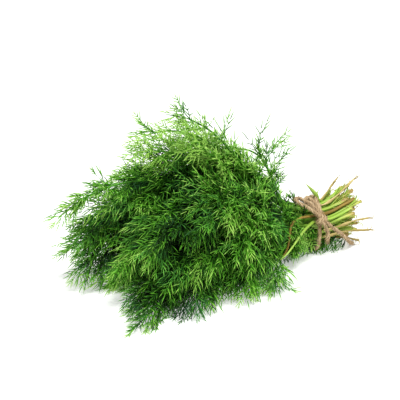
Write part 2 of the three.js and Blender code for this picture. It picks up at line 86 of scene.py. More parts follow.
HEAD_REACH = 98.0  # middle of the head ahead of the tie
HEAD_RADIUS = 64.0
HEAD_RISE = 28.0  # how far the middle of the head stands above the middle of the neck
HEAD_SAG = 34.0  # how far the rim of the head hangs
SAG_LEAD = 12  # how far before its middle the head starts to hang forwards
SAG_STRETCH = (10, 80)  # the sag sets in over this stretch ahead of the tie
HEAD_NARROW = 0.78  # width over height
NARROW_STRETCH = (0, 70)
HEAD_SPREAD = math.radians(112)  # the outermost stems turn back this far from straight ahead
NECK_CORNER, HEAD_SOFTER = 8, 4  # how sharply the neck is pressed flat, and how much less the head is
CORNER_STRETCH = (0, 60)
PRESSED_TO = 0.4  # how near to the surface a pressed underside comes

# A leafy stem's line leaves the tie, opens a little, and turns to face outwards at its tip.
TIP_SCATTER = math.radians(7)
TIP_UNEVEN = 0.1
INNERMOST_TIP = 3
NECK_END = 10
FACING_SHARE = 0.3
LEAVING, ARRIVING = 0.42, 0.38  # shares over which it keeps its first and last direction
OPENING = 1.15
STEM_TURN = 0.22  # how far it turns round the bunch, in radians
STEM_STEPS = 40

# The fronds of these stems are slimmer, by this share, and stand out of the head.
SLIM_FRONDS = {3: 0.85, 6: 0.4, 11: 0.8, 12: 0.7, 14: 0.8, 19: 0.5, 29: 0.6}

# Tips that stand out of the head's dome, by stem number.
STRAY_TIPS = {
    0: (-162, 18, 16), 2: (-148, 12, 10), 3: (-165, 14, 41), 4: (-147, -33, 11), 5: (-161, 34, 23),
    6: (-177, 6, 61), 7: (-144, -20, 9), 8: (-149, 36, 33), 11: (-125, 4, 99), 12: (-154, -42, 5),
    14: (-126, 6, 88), 16: (-121, 40, 63), 17: (-123, -43, 10), 19: (-102, -1, 107),
    20: (-99, -32, 6), 21: (-111, 47, 42), 24: (-100, 29, 84), 25: (-85, -44, 13),
    27: (-103, -8, 97), 29: (-53, 22, 72), 32: (-84, 16, 88), 33: (-64, -42, 10),
}

# Single sprays that stand out of the head: where on the stem they leave it, as a share, and their tips.
OUTLYING_SPRAYS = {
    6: [(0.8, (-152, 20, 73))],
    11: [(0.95, (-128, 6, 107))],
    19: [(0.7, (-70, 5, 98)), (0.95, (-106, -1, 116))],
    29: [(0.5, (-22, 15, 69)), (0.62, (-26, 12, 76)), (0.72, (-40, 10, 84))],
    33: [(0.75, (-50, -37, 6)), (0.85, (-55, -44, 1.5))],
}
SPRAY_BOW = 0.4  # how long such a spray keeps the stem's direction, as a share of its length

# ---- Measures of the fronds ----
# Turns, rolls and leans are in degrees, unless math.radians makes them radians.

FROND_LENGTH = 92.0
FROND_SHARE = 0.7  # most of a stem's length that may be leafy
RIB_PAIRS = 7  # as many pairs as the solids have
RIB_STEP = 1 / 3  # and two more between each two of them
RIB_PLACING = 0.9  # under 1, so that the pairs stand a little closer at the frond's foot
RIB_LENGTH = 32.0
RIB_UNEVEN = 0.18
FULL_FROND = 112.0  # length of a frond whose ribs have their full length
FROND_SCALING = 0.35  # power by which a shorter frond has shorter ribs
RIB_RADIUS = 0.36
RIB_DROOP = 0.018
RIB_TURN = 52
RIB_ROLL = 22
RIB_LEAN, RIB_LEAN_LOSS, LEAN_UNEVEN = 52, 14, 8
RIB_SHORTENING, SHORTENING_POWER = 0.5, 1.3  # how much shorter the ribs get by the tip, and how late
SHORTEST_RIB = 4.0
BETWEEN_RIB = 0.8  # share of a rib's length that the ribs between two pairs have
CURL_BACK = 0.35  # share of its lean that a rib, twig or needle loses as it curls back
# The ribs are short at the neck, and stay so farther out where they stand above SHOULDER_HEIGHT.
NECK_RIB = 0.2
NECK_STRETCH = (15, 60)
SHOULDER_HEIGHT, SHOULDER_WIDENING = 35, 1.6
END_SPRAY_LENGTH, END_SPRAY_BACK = 12.0, 2  # the spray at a stem's tip, and how far back it starts
END_LEAN = 0.05  # nearly straight on, in radians

# Twigs on a rib and needles on a twig grow in turned pairs, with one at the end. The bare foot and end of
# what carries them are in spacings. They have their full length where it is at least as long as full.
TWIG = dict(
    spacing=6.4, foot=0.6, end=0.6, turn=20, roll=25, full=26, least=0.4,
    length=20.0, shortening=0.45, at_end=0.55, uneven=(0.8, 1.2),
    lean=math.radians(38), lean_uneven=None, end_lean=0.05, droop=0.016, steps=3,
)
NEEDLE = dict(
    spacing=5.2, foot=0.7, end=0.5, turn=15, roll=20, full=9, least=0.6,
    length=9.6, shortening=0.35, at_end=0.75, uneven=(0.7, 1.3),
    lean=math.radians(40), lean_uneven=(0.75, 1.25), end_lean=0.03, droop=0.02, steps=2,
)
TWIG_RADIUS, NEEDLE_RADIUS = 0.27, 0.33
NEEDLES_MISSING = 0.25  # share of the second needles of a pair

LOW_LEAF_STEMS = [20, 25, 30, 33]
LOW_LEAF_PLACES = [13, 21]  # from the tie
LOW_LEAF_LENGTH = 9.0
LOW_LEAF_UNEVEN = (0.9, 1.3)
LOW_LEAF_LEAN = math.radians(45)
LOW_LEAF_ROOM = 14  # no undergrowth stands within this distance of the low leaves' middle
SHORT_RIB_LEAN = (40, 65)  # of the undergrowth and the filling
# The undergrowth clothes the neck's bare underside and runs on a little way under the frond.
UNDER_SPACING, UNDER_UNEVEN = 8.0, (-3, 3)
UNDER_FROM, UNDER_PAST = -14.0, 10
UNDER_LENGTH = (6, 10)
UNDER_LONGER, LONGER_STRETCH = 8, (20, 60)  # it gets longer away from the tie
UNDER_MISSING = 0.25
# On top of the neck it stands only in front, over a short stretch and on the outer stems.
TOP_NECK, TOP_CUT, CUT_TO = 0.35, -0.6, 8  # rise of what counts as top, beyond CUT_TO and before it
TOP_STRETCH, TOP_STEMS_FROM, TOP_FACING = (16, 32), 12, 0.3
FILLING_STEMS = 20  # the innermost stems, which carry short ribs between the others, dark with painted shade
FILLING_SPACING, FILLING_LENGTH, FILLING_STOPS = 3.0, (10, 17), 16

# ---- Tones of the leaves, from 0, the darkest, to 1, the lightest: age with painted shade and painted light ----

LEAF_TONE, STEM_TONE, RIB_TONE = 0.29, 0.12, (-0.1, 0.15)  # the mean, and how stems and ribs differ
TWIG_TONE, NEEDLE_TONE = 0.06, 0.2
OUTLYING_TONE = 0.4
# The filling's tones are dark: painted shade for the inside of the head.
UNDER_TONE, FILLING_SHADE_TONE, LOW_LEAF_TONE = (0.0, 0.35), (-0.1, 0.15), (1.0, 1.15)
# Painted shade on the ribs between two pairs, strongest low on the frond.
BETWEEN_PAINTED_SHADE = 0.35
# Painted shade on the leaves inside the bunch, where shade falls, and painted light on those outside.
INSIDE_PAINTED_SHADE = 0.5
FACING_OUT = 0.3  # how much of being outermost is that a rib faces outwards
TIP_LIGHTER = 0.4  # from the foot of a rib to its tip
EVEN_PLACE = 0.6  # where along a rib a twig has the rib's own tone
CROWN_PAINTED_LIGHT, CROWN_FROM, CROWN_TO = 0.42, 42, 95  # painted light on the leaves on top, between these heights
CROWN_THINNER = 0.75  # share of the ribs between two pairs that are missing there
# Painted shade in hollows of the bunch's side, and painted light on a few sprays there: their middles, and
# how their tone differs.
SHADE_AND_LIGHT_PATCHES = [
    ((-112, -30, 52), -0.65), ((-130, -18, 72), -0.5), ((-152, 2, 34), -0.35),
    ((-124, -40, 18), -0.45), ((-112, -42, 34), 0.35), ((-152, -18, 46), 0.2),
]
PATCH_STRETCH = (8, 30)  # a patch fades out over these distances from its middle

# ---- Measures of the loose stalks and of the twine ----

SHEATH_STEM = 32
SHEATH_PLACE = 21  # from its stem's cut end
SHEATH_LINE = [(2.5, 2, 31.5), (-1.9, 0.5, 37), (-7, -0.5, 42.5), (-12.3, -1, 47.9)]
SHEATH_POINT = (1.2, 1.5, 41.5)  # where its second point ends
SHEATH_WIDTH, POINT_WIDTH = 1.5, 0.7 * 1.5
SHEATH_PROFILE = ([0, 0.2, 0.45, 0.65, 0.85, 1], [0.3, 0.5, 1, 0.8, 0.4, 0.1])  # places and widths
SHEATH_DRYING = ([0, 0.5, 0.8, 1], [0.3, 0.14, 0.08, 0.0])  # places, and how green it is there
CURL_STEPS = 12
SPLIT_STRIPS = 12  # strips that split off each cut end
STRIP_WIDTH, STRIP_REACH = (0.35, 0.75), (0.7, 1.1)
STRIP_LEAVES, STRIP_BEND, STRIP_TWIST = (0.12, 0.4), (0.2, 1.4), (-2, 2)
STRIP_PROFILE = ([0, 0.3, 0.8, 1], [0.5, 1, 0.75, 0.2])
STRIP_DRYING, STRIP_DRYNESS = ([0, 0.6, 1], [0.3, 0.14, 0]), (0.5, 1.3)
# Threads that curl off an end: from how many of its rings, how much they rise, and their measures' ranges.
SHRED = {"rings": 4, "rise": 0.2, "width": (0.2, 0.4), "length": (4, 10), "bend": (1, 4.5), "tone": (0, 1)}
TENDRIL = {"rings": 6, "rise": 0, "width": (0.25, 0.5), "length": (3, 8), "bend": (2, 5), "tone": (0.1, 0.9)}
SHREDS, TENDRILS = 3, 4  # on each cut end, and on each dry one
SHRED_POINT = 0.4  # it narrows to this share by its tip
SHRED_DRYING, SHRED_DRYNESS = (0.16, 0), (0.4, 1.2)
DRY_PROFILE = ([0, 0.25, 0.6, 1], [0.7, 0.9, 1.0, 0.9])
DRY_SHARES = (1, 0.72, 0.42, 0.1, -0.2)  # places of a dry stalk's line, as shares of its length past the tie
DRY_UNEVEN, DRY_FLARE, DRY_STRAYS, DRY_TURN = 0.15, 0.75, 0.08, 0.2
DRY_WAVES, DRY_WAVE_TURN, DRY_ROUGH = 0.14, 25, 0.05
DRY_TWIST, TWIST_UNEVEN = 2.5 * math.pi, (0.6, 1.2)
BENT_PROFILE = ([0, 0.4, 0.9, 1], [1, 0.95, 0.6, 0.4])
BENT_DRYING = ([0, 0.1, 1], [0.03, 0.25, 0.2])

BENT_STALKS = {
    BROWN_PLACE: [
        (-12, -10.5, 28.3), (-22, -15, 31.2), (-31.5, -19, 33.2), (-37.4, -21.5, 30.4),
        (-39.3, -23, 23.4), (-41.7, -24, 15.9), (-47.5, -25, 10.3),
    ],
    GREEN_PLACE: [
        (-7, -11.2, 24.2), (-12.2, -12.4, 24.9), (-17, -16, 26.3), (-23.5, -19.8, 26),
        (-30.1, -22.5, 23.6), (-37.1, -25, 18.8), (-43.3, -26.5, 14.5), (-49.7, -27, 11.3),
    ],
}

BENT_CLEARANCE = 2.5  # no rib hangs nearer to a bent stalk than this, seen from the front
FRONT = np.array([-0.46, -0.8, 0.37])  # the way that the side with the bent stalks faces

TWINE_RADIUS = 1.25
TWINE_PITCH = 9.0  # length of twine in which a strand goes round once
STRAND_APART, STRAND_RADIUS = 0.5 * TWINE_RADIUS, 0.54 * TWINE_RADIUS
HAIRS_PER_MM = 4.5
HAIR_ROOT = 0.85 * TWINE_RADIUS  # how far from the twine's middle its hairs stand
HAIR_LENGTH, HAIR_DROOP, HAIR_ALONG = (1.2, 3.6), 0.05, [0, 0.3, 0.6, 1]
LOOSE = {"lean": (0.2, 0.9), "tone": (0.3, 1.1), "radius": 0.09, "taper": 0.4}  # hairs along a twine
FRAYED = {"lean": (0, 0.5), "tone": (0.5, 1.2), "radius": 0.13, "taper": 0.5}  # and at its cut end
WRAP_RADIUS = 17.3
WRAP_AT = -4.0
WRAP_TURNS = 1
WRAP_PITCH = 2.4
WRAP_SLANT = 0.36
KNOT_ANGLE = math.radians(150)
KNOT_RADIUS = 2.8
KNOT_TURNS, KNOT_PITCH = 2.2, 2.3  # the twine goes this often round itself, this far on each time
KNOT_WIDE, KNOT_DEEP = 2.5, 2.1
KNOT_AXIS = (0.75, 0.35, -0.55)
BOW_LOOPS = [
    [
        (-13.5, -15.5, 32.2), (-19.5, -12.5, 37), (-24.5, -10.5, 40.4), (-25.7, -8.8, 42),
        (-21, -7, 41.2), (-15.8, -9, 37.2), (-11.8, -13.3, 32.8),
    ],
    [
        (-11.5, -14.5, 32.6), (-13.4, -10.2, 36.8), (-16.8, -8.5, 39.2), (-14.6, -6.2, 40.4),
        (-11.2, -8, 38), (-9.4, -13, 33.8),
    ],
]
SHORT_END = [(-10.4, -20, 26), (-8.4, -20.8, 21.8), (-7.4, -21, 16.9), (-7.4, -20.5, 12.4)]
LONG_END_STUB = [(-6.2, -19.6, 24.6), (-3.4, -20.3, 21.9)]
LONG_END = [
    (-3.08, -20.36, 21.6), (0.6, -20.6, 18.6), (4.6, -20.2, 15.2), (9, -18.8, 11.3),
    (13.4, -16.6, 7.3), (17.4, -14, 3.8), (21.4, -11.2, 1.6),
]

# ---- The camera and the light ----

LOOK_AT = (-91.8, 0.0, 52.0)
CAMERA_DISTANCE = 640.0
CAMERA_AZIMUTH = math.radians(-30)
CAMERA_ELEVATION = math.radians(22)
LENS = 92.9
SENSOR = 36.0


def in_row(points):
    """Points of the layout, in millimetres, as points of the row's frame, in metres."""
    return (np.asarray(points, float) + SHIFT) * MM


def placed(name, data):
    """A new object that holds the data, in the scene."""
    thing = bpy.data.objects.new(name, data)
    bpy.context.scene.collection.objects.link(thing)
    return thing


def add_camera():
    a, e = CAMERA_AZIMUTH, CAMERA_ELEVATION
    back = np.array([math.sin(a) * math.cos(e), -math.cos(a) * math.cos(e), math.sin(e)])
    data = bpy.data.cameras.new("camera")
    data.lens, data.sensor_width = LENS, SENSOR
    data.clip_start, data.clip_end = 0.01, 20
    camera = placed("camera", data)
    camera.location = in_row(np.array(LOOK_AT) + CAMERA_DISTANCE * back)
    camera.rotation_euler = (math.pi / 2 - e, 0, a)
    bpy.context.scene.camera = camera


# ---- Small helpers ----


def chance(a, b=0, c=0, d=0):
    """A repeatable number from 0 to 1, the same for the same keys."""
    s = math.sin(a * 12.9898 + b * 78.233 + c * 37.719 + d * 9.151) * 43758.5453
    return s - math.floor(s)


def jitter(*keys):
    return 2 * chance(*keys) - 1


def smooth(low, high, x):
    t = np.clip((x - low) / (high - low), 0, 1)
    return t * t * (3 - 2 * t)


def unit(vectors):
    vectors = np.asarray(vectors, float)
    return vectors / np.maximum(np.linalg.norm(vectors, axis=-1, keepdims=True), 1e-9)


def turned(first, second, angles):
    """First turned towards second, a direction for each angle."""
    return first * np.cos(angles)[..., None] + second * np.sin(angles)[..., None]


def repeats(counts):
    """For counts (2, 3): each copy's owner (0, 0, 1, 1, 1) and its number there (0, 1, 0, 1, 2)."""
    owners = np.repeat(np.arange(len(counts)), counts)
    return owners, np.arange(len(owners)) - np.repeat(np.cumsum(counts) - counts, counts)


def frames_of(line):
    """Direction and two normals at each point of a line, carried along it without twisting."""
    ways = unit(np.concatenate([line[1:2] - line[:1], line[2:] - line[:-2], line[-1:] - line[-2:-1]]))
    across = np.empty_like(ways)
    last = UP
    for k, way in enumerate(ways):
        last = unit(last - way * (way @ last))
        across[k] = last
    return ways, across, np.cross(ways, across)


def distances_of(line):
    return np.concatenate([[0], np.cumsum(np.linalg.norm(np.diff(line, axis=0), axis=1))])


def sampled(values, places, at):
    """Rows of values, known at places along a line, at other places."""
    return np.stack([np.interp(at, places, values[:, k]) for k in range(values.shape[1])], axis=-1)


CURVE_SAMPLES = 32  # points worked out between two given ones


def spots_along(line):
    """A function that gives the point, direction and two normals at a distance along a line."""
    places = distances_of(line)
    rows = (line, *frames_of(line))

    def spot(at):
        base, way, normal, other = (sampled(row, places, at) for row in rows)
        return base, unit(way), normal, other

    return spot


def curve_through(points, spacing):
    """A smooth line through the points (a centripetal Catmull-Rom curve), in even steps of about spacing."""
    p = np.asarray(points, float)
    p = np.concatenate([[2 * p[0] - p[1]], p, [2 * p[-1] - p[-2]]])
    t = np.linspace(0, 1, CURVE_SAMPLES + 1)[:-1, None]
    stretches = []
    for k in range(1, len(p) - 2):
        before, here, there, after = p[k - 1 : k + 3]
        d0, d1, d2 = np.linalg.norm(np.diff(p[k - 1 : k + 3], axis=0), axis=1) ** 0.5
        leave = d1 * ((here - before) / d0 - (there - before) / (d0 + d1) + (there - here) / d1)
        arrive = d1 * ((there - here) / d1 - (after - here) / (d1 + d2) + (after - there) / d2)
        bend = -3 * here + 3 * there - 2 * leave - arrive
        stretches.append(here + leave * t + bend * t**2 + (2 * here - 2 * there + leave + arrive) * t**3)
    line = np.concatenate([*stretches, p[-2:-1]])
    places = distances_of(line)
    return sampled(line, places, np.linspace(0, places[-1], max(3, round(places[-1] / spacing) + 1)))


# ---- Meshes ----


def closed(rings, tips, tone=0.5, along=None, skin=0):
    """Closed skins over rings of points, each pulled to a tip: rings is (count, depth, sides, 3).

    Every point keeps its limb's tone, how far along the limb it is, and its place in the limb's grain:
    millimetres along it, then millimetres across it.
    """
    count, depth, sides = rings.shape[:3]
    j = np.arange(sides)
    after = (j + 1) % sides
    foot = (np.arange(depth - 1) * sides)[:, None]
    last = (depth - 1) * sides
    pattern = np.concatenate([
        np.stack([foot + j, foot + after, foot + sides + after], axis=-1).reshape(-1, 3),
        np.stack([foot + j, foot + sides + after, foot + sides + j], axis=-1).reshape(-1, 3),
        np.stack([0 * j[1:-1], j[2:], j[1:-1]], axis=-1),
        np.stack([last + j, last + after, 0 * j + last + sides], axis=-1),
    ])
    spots = np.concatenate([rings.reshape(count, -1, 3), tips[:, None]], axis=1)
    middles = np.concatenate([rings.mean(axis=2), tips[:, None]], axis=1)
    steps = np.linalg.norm(np.diff(middles, axis=1), axis=2)
    travel = np.concatenate([np.zeros((count, 1)), np.cumsum(steps, axis=1)], axis=1)
    sizes = np.linalg.norm(rings - middles[:, :-1, None], axis=3)
    angles = 2 * np.pi * j / sides
    grain = np.zeros_like(spots)
    grain[:, :-1, 0] = np.repeat(travel[:, :-1], sides, axis=1)
    grain[:, :-1, 1] = (sizes * np.cos(angles)).reshape(count, -1)
    grain[:, :-1, 2] = (sizes * np.sin(angles)).reshape(count, -1)
    grain[:, -1, 0] = travel[:, -1]
    along = np.linspace(0, 1, depth + 1) if along is None else np.asarray(along, float)
    counts = [sides] * depth + [1]
    return {
        "spots": spots.reshape(-1, 3),
        "faces": (pattern + (np.arange(count) * spots.shape[1])[:, None, None]).reshape(-1, 3),
        "tone": np.repeat(np.broadcast_to(tone, count), spots.shape[1]),
        "along": np.broadcast_to(np.repeat(along, counts), (count, spots.shape[1])).ravel(),
        "grain": grain.reshape(-1, 3),
        "skin": np.full(len(pattern) * count, skin),
    }


def limbs(lines, radius, taper, sides, **skin):
    """Round limbs along lines of equal point counts. They taper by a share of their radius, then to a tip."""
    count, points = lines.shape[:2]
    ways = unit(np.concatenate([lines[:, 1:2] - lines[:, :1], lines[:, 2:] - lines[:, :-2]], axis=1))
    across = sides_of(ways[:, 0], np.zeros(count))
    angles = 2 * np.pi * np.arange(sides) / sides
    rings = np.empty((count, points - 1, sides, 3))
    for k in range(points - 1):
        way = ways[:, k]
        across = unit(across - way * (across * way).sum(axis=1, keepdims=True))
        third = np.cross(way, across)
        out = turned(across[:, None], third[:, None], angles)
        thin = 1 - taper * k / max(1, points - 2)
        rings[:, k] = lines[:, k, None] + np.broadcast_to(radius, count)[:, None, None] * thin * out
    return closed(rings, lines[:, -1], **skin)


def sides_of(ways, rolls):
    """Directions at right angles to the ways, rolled round them from the horizontal."""
    nearly_upright = 0.92
    guide = np.where(np.abs(ways[:, 2:]) < nearly_upright, UP, np.array([1.0, 0, 0]))
    across = unit(np.cross(ways, guide))
    return turned(across, np.cross(across, ways), rolls)


def any_side(way, dice):
    return sides_of(way[None], dice.uniform(0, 2 * np.pi, 1))[0]


def swept(line, radii, sides, flatness=1.0, hollow=0.0, turns=None, **skin):
    """One limb along a line, with a radius for every point but the last, which is its tip.

    Flatness squeezes it along its second normal. Hollow is how deep a cup its start has. Turns, in
    radians for every point, twist a flat limb.
    """
    ways, across, third = frames_of(line)
    centres, sizes = line[:-1], np.asarray(radii, float)
    order = np.arange(len(centres))
    if hollow:
        centres = np.concatenate([centres[0] + ways[0] * (hollow * CUP_DEPTHS), centres])
        sizes = np.concatenate([sizes[:1] * CUP_WIDTHS, sizes])
        order = np.concatenate([[0, 0], order])
    angles = 2 * np.pi * np.arange(sides) / sides
    turn = (np.zeros(len(line)) if turns is None else turns)[order]
    wide = turned(across[order], third[order], turn)
    thin = flatness * turned(third[order], -across[order], turn)
    rings = centres[:, None] + sizes[:, None, None] * turned(wide[:, None], thin[:, None], angles)
    if "along" in skin and hollow:
        skin["along"] = np.concatenate([skin["along"][:1], skin["along"][:1], skin["along"]])
    return closed(rings[None], line[None, -1], **skin)


def mesh_of(name, parts):
    starts = np.cumsum([0] + [len(part["spots"]) for part in parts[:-1]])
    faces = np.concatenate([part["faces"] + start for part, start in zip(parts, starts)])
    spots = np.concatenate([part["spots"] for part in parts])
    spots[:, 2] = np.maximum(spots[:, 2], NEAREST)
    mesh = bpy.data.meshes.new(name)
    mesh.vertices.add(len(spots))
    mesh.vertices.foreach_set("co", in_row(spots).ravel())
    mesh.loops.add(faces.size)
    mesh.loops.foreach_set("vertex_index", faces.ravel())
    mesh.polygons.add(len(faces))
    mesh.polygons.foreach_set("loop_start", np.arange(len(faces)) * 3)
    mesh.polygons.foreach_set("material_index", np.concatenate([part["skin"] for part in parts]))
    for key in ("tone", "along"):
        values = np.concatenate([part[key] for part in parts]).astype(np.float32)
        mesh.attributes.new(key, "FLOAT", "POINT").data.foreach_set("value", values)
    grain = np.concatenate([part["grain"] for part in parts]).astype(np.float32)
    mesh.attributes.new("grain", "FLOAT_VECTOR", "POINT").data.foreach_set("vector", grain.ravel())
    mesh.update(calc_edges=True)
    mesh.shade_smooth()
    return mesh


def add_piece(name, parts, skins, nodes):
    """A piece that stands for CAD nodes. Its parts' skin numbers count through the materials in skins."""
    mesh = mesh_of(name, parts)
    for skin in skins:
        mesh.materials.append(skin)
    piece = placed(name, mesh)
    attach(piece, "root")
    if nodes:
        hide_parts(*nodes)
    return piece


# ---- Lines of the bunch ----


def neck_radius(n):
    return NECK_SPACING * math.sqrt(n + 0.5)


def lay_down(x, y, z):
    """Raises the head of the unsagged bunch, hangs its rim and presses its underside flat."""
    x, y, z = np.broadcast_arrays(*(np.asarray(v, float) for v in (x, y, z)))
    ahead = -x
    middle = TIE_HEIGHT + HEAD_RISE * smooth(0, HEAD_REACH, ahead) + CUT_RISE * smooth(0, CUT_LENGTH, x)
    out = y**2 + np.maximum(0, ahead - HEAD_REACH + SAG_LEAD) ** 2
    h = z - HEAD_SAG * out * smooth(*SAG_STRETCH, ahead) / HEAD_RADIUS**2
    corner = NECK_CORNER - HEAD_SOFTER * smooth(*CORNER_STRETCH, ahead)
    sunk = np.maximum(-h, 0) / (middle - PRESSED_TO)
    return np.stack([x, y, middle + h / (1 + sunk**corner) ** (1 / corner)], axis=-1)


def cut_line(n, places):
    """Stalk n past the tie, at shares of its length there."""
    r = neck_radius(n)
    length = CUT_LENGTH * (1 + CUT_UNEVEN * jitter(n, 4)) - CUT_ROUNDED * r
    flare = CUT_FLARE + FLARE_UNEVEN * jitter(n, 5)
    angle = n * GOLDEN_ANGLE + CUT_TURN * jitter(n, 6) * places
    wide = r * (1 + (flare - 1) * places**2)
    return lay_down(length * places, wide * np.cos(angle), wide * np.sin(angle))


def leafy_line(n):
    """Leafy stem n from the tie to its tip."""
    start = neck_radius(n)
    share = (n + 0.5) / LEAFY_STEMS
    polar = math.acos(1 - (1 - math.cos(HEAD_SPREAD)) * share) + TIP_SCATTER * jitter(n, 1)
    radius = HEAD_RADIUS * (1 + TIP_UNEVEN * jitter(n, 2))
    facing = np.array([math.cos(polar), math.sin(polar)])
    tip = np.array([HEAD_REACH + radius * facing[0], max(INNERMOST_TIP, radius * facing[1])])
    away = tip - (NECK_END, start)
    span = np.linalg.norm(away)
    arriving = unit((1 - FACING_SHARE) * away / span + FACING_SHARE * facing)
    opened = np.array([LEAVING * span, OPENING * start])
    corners = [np.array([0, start]), opened, tip - ARRIVING * span * arriving, tip]
    t = np.linspace(0, 1, STEM_STEPS + 1)
    shares = [(1 - t) ** 3, 3 * (1 - t) ** 2 * t, 3 * (1 - t) * t**2, t**3]
    x, y = sum(corner[:, None] * share for corner, share in zip(corners, shares))
    angle = n * GOLDEN_ANGLE + STEM_TURN * jitter(n, 3) * t
    narrow = 1 - (1 - HEAD_NARROW) * smooth(*NARROW_STRETCH, x)
    line = lay_down(-x, y * np.cos(angle) * narrow, y * np.sin(angle))
    if n in STRAY_TIPS:
        line += smooth(0, 1, t)[:, None] * (np.array(STRAY_TIPS[n]) - line[-1])
        line[:, 2] = np.maximum(line[:, 2], LOWEST)
    return line


def shoots(base, forward, side, length, lean, droop, steps):
    """Lines that leave their bases at an angle from forward towards side, curl back to forward and sag."""
    lines = [base]
    for k in range(steps):
        part = (k + 0.5) / steps
        turn = np.broadcast_to(lean * (1 - CURL_BACK * part), len(base))[:, None]
        way = forward * np.cos(turn) + side * np.sin(turn)
        way[:, 2] -= droop * part * length
        spot = lines[-1] + unit(way) * (length / steps)[:, None]
        spot[:, 2] = np.maximum(spot[:, 2], LOWEST)
        lines.append(spot)
    return np.stack(lines, axis=1)


def spots_on(lines, owners, shares):
    """Point and direction at a share of the length of the owners' lines."""
    place = shares * (lines.shape[1] - 1)
    low = np.minimum(place.astype(int), lines.shape[1] - 2)
    part = (place - low)[:, None]
    start, end = lines[owners, low], lines[owners, low + 1]
    return start + part * (end - start), unit(end - start)


# ---- Leafy stems ----

LEAF, STALK = 0, 1  # skin numbers of a leafy stem


def rib_side(n, pair, k, normal, other):
    """The side to which rib k of a pair leaves leafy stem n. Each pair is turned on from the last."""
    turn = pair * RIB_TURN + 180 * k + RIB_ROLL * jitter(n, pair, k, 1)
    roll = 2 * math.pi * chance(n, 11) + math.radians(turn)
    return normal * math.cos(roll) + other * math.sin(roll)


def offshoots(kind, carriers, lengths, dice):
    """Twigs on ribs, or needles on twigs: lines, lengths, carriers' numbers, places and which of a pair."""
    pairs = np.maximum(2, (lengths / kind["spacing"]).astype(int))
    owners, number = repeats(2 * pairs + 1)
    pair, second = number // 2, number % 2
    ends = number == 2 * pairs[owners]
    share = np.where(ends, 1, (pair + kind["foot"]) / (pairs[owners] + kind["end"]))
    base, way = spots_on(carriers, owners, share)
    count = len(owners)
    first = dice.uniform(0, 2 * np.pi, len(carriers))
    turn = kind["turn"] * pair + 180 * second + dice.uniform(-kind["roll"], kind["roll"], count)
    side = sides_of(way, first[owners] + np.radians(turn))
    length = kind["length"] * np.where(ends, kind["at_end"], 1 - kind["shortening"] * share)
    length *= dice.uniform(*kind["uneven"], count) * np.clip(lengths[owners] / kind["full"], kind["least"], 1)
    uneven = dice.uniform(*kind["lean_uneven"], count) if kind["lean_uneven"] else 1
    lean = np.where(ends, kind["end_lean"], kind["lean"] * uneven)
    return shoots(base, way, side, length, lean, kind["droop"], kind["steps"]), length, owners, share, second


def sprays(ribs, lengths, tones, dice):
    """Ribs with their twigs and needles, as parts of one mesh."""
    twigs, twig_lengths, owners, share, _ = offshoots(TWIG, ribs, lengths, dice)
    twig_tones = tones[owners] + TIP_LIGHTER * (share - EVEN_PLACE)
    twig_tones = twig_tones + dice.uniform(-TWIG_TONE, TWIG_TONE, len(twigs))
    needles, _, owners, _, second = offshoots(NEEDLE, twigs, twig_lengths, dice)
    kept = (second == 0) | (dice.uniform(0, 1, len(needles)) > NEEDLES_MISSING)
    needles = needles[kept]
    needle_tones = twig_tones[owners[kept]] + dice.uniform(-NEEDLE_TONE, NEEDLE_TONE, len(needles))
    low = np.linspace(0, 0.3, ribs.shape[1])  # ribs and twigs stay at the dark end of "along"
    return [
        limbs(ribs, RIB_RADIUS, taper=0.3, sides=4, tone=tones, skin=LEAF, along=low),
        limbs(twigs, TWIG_RADIUS, taper=0.2, sides=3, tone=twig_tones, skin=LEAF, along=[0, 0.1, 0.2, 0.3]),
        limbs(needles, NEEDLE_RADIUS, taper=0.1, sides=3, tone=needle_tones, skin=LEAF, along=[0.3, 0.65, 1]),
    ]


